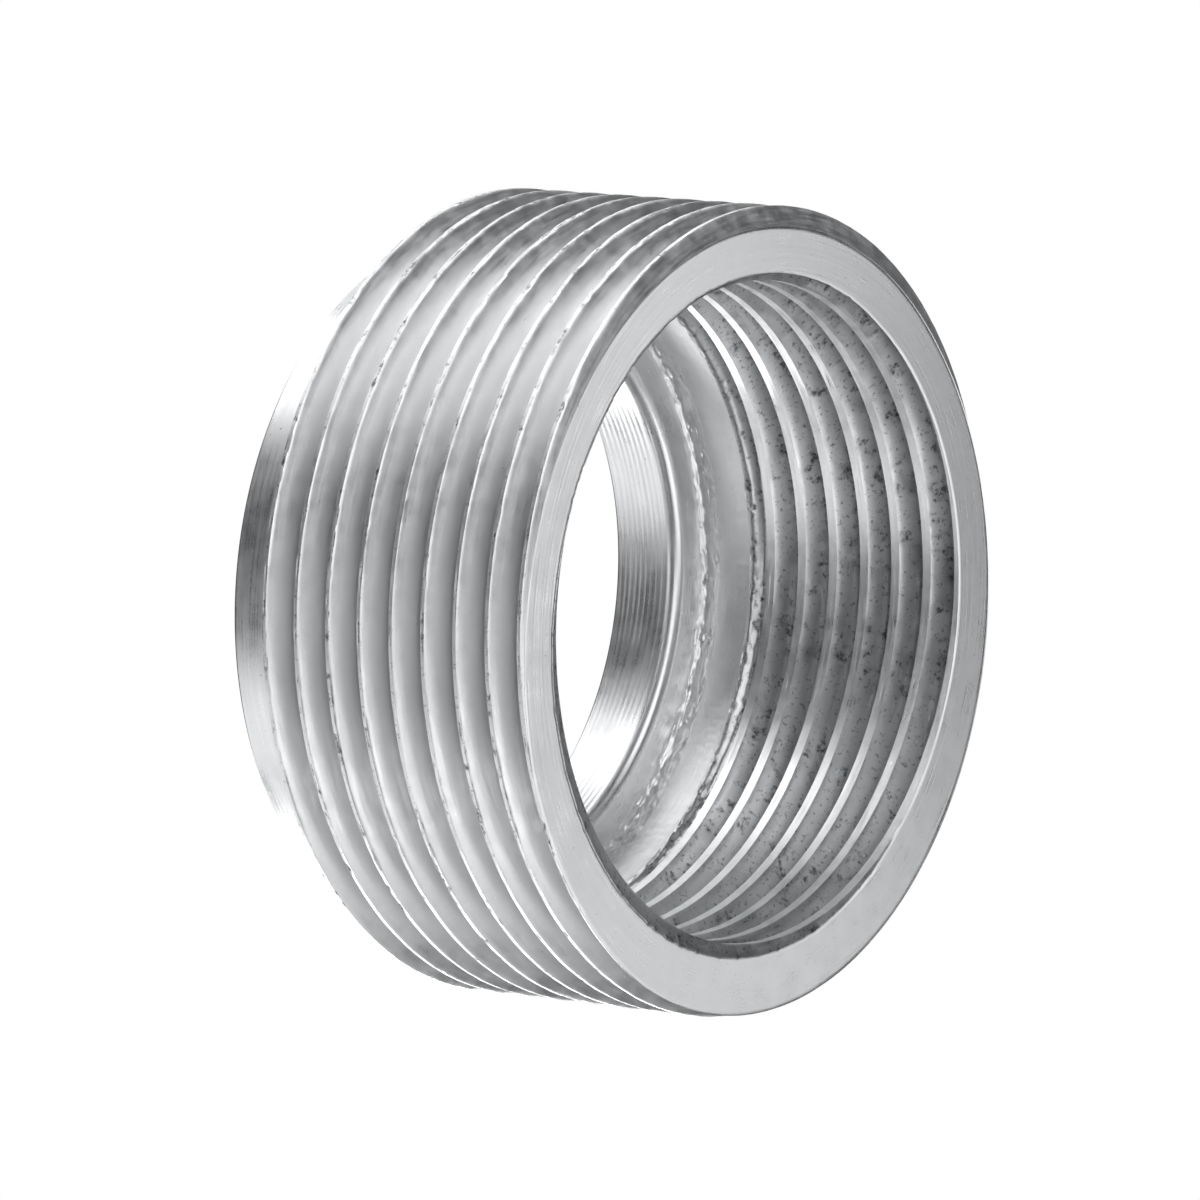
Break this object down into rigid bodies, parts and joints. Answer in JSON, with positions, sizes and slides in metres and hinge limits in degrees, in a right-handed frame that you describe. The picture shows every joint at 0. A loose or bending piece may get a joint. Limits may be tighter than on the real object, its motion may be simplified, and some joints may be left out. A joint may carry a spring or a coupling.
{
  "type": "threaded reducing bushing",
  "caption": "Flush one-piece reducing bushing: male thread outside, smaller female thread inside, stepped throat bore and plain rear land.",
  "frame": {"origin": "centre of the flat rear end face, on which the bushing stands", "axes": "+Z along the shared axis of every bore and thread, out of the female mouth; +X and +Y across it"},
  "size_m": [0.0478, 0.0478, 0.0236],
  "materials": {
    "machined_aluminium": "bright turned surface with fine lathe marks and torn thread crests"
  },
  "bodies": {
    "root": {"reducing_bushing": "machined_aluminium"}
  },
  "joints": []
}
